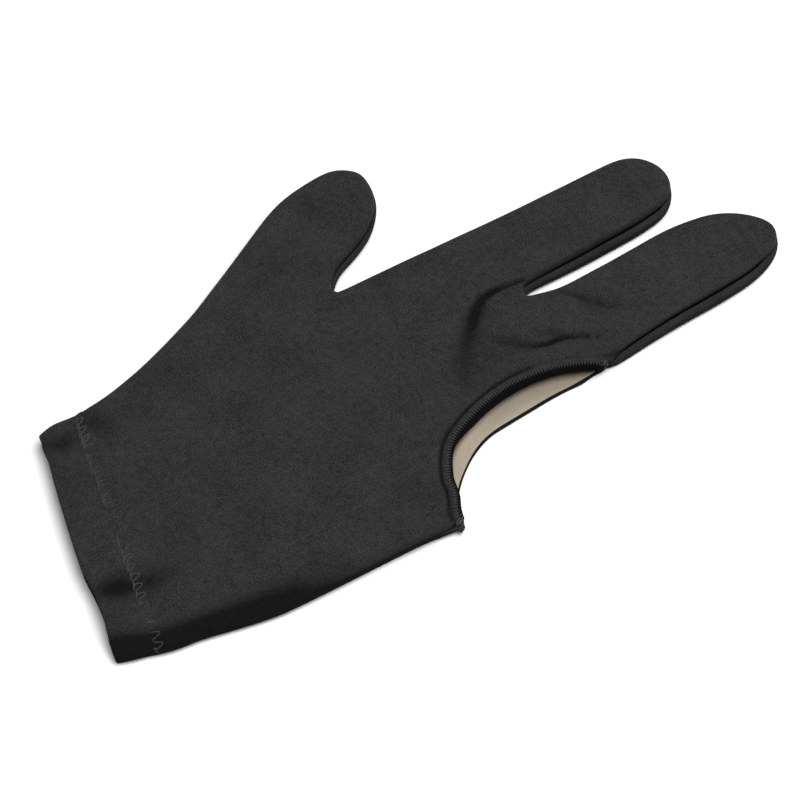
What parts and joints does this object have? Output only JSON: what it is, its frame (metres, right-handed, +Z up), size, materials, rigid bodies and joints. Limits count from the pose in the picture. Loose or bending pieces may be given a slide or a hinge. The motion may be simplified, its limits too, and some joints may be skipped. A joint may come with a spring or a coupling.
{
  "type": "billiard glove",
  "caption": "Thin stretch-knit glove lying flat, covering the thumb, index and middle finger and open round the ring and little fingers.",
  "frame": {"origin": "middle of the bounding box's underside, where the palm panel lies on the surface", "axes": "+X from the cuff to the fingertips, +Y towards the thumb's side, +Z up, out of the upper panel"},
  "size_m": [0.2308, 0.1188, 0.0095],
  "materials": {
    "back_knit": "matte fine knit",
    "palm_knit": "matte fine knit",
    "lining": "smooth matte knit",
    "hem_knit": "matte fine knit",
    "edging": "overlocked thread"
  },
  "bodies": {
    "root": {"back_body": "back_knit", "back_thumb": "back_knit", "back_index": "back_knit", "back_middle": "back_knit", "palm_body": "palm_knit", "palm_thumb": "palm_knit", "palm_index": "palm_knit", "palm_middle": "palm_knit", "palm_lining": "lining", "cuff_hem": "hem_knit", "opening_edging": "edging"}
  },
  "joints": []
}
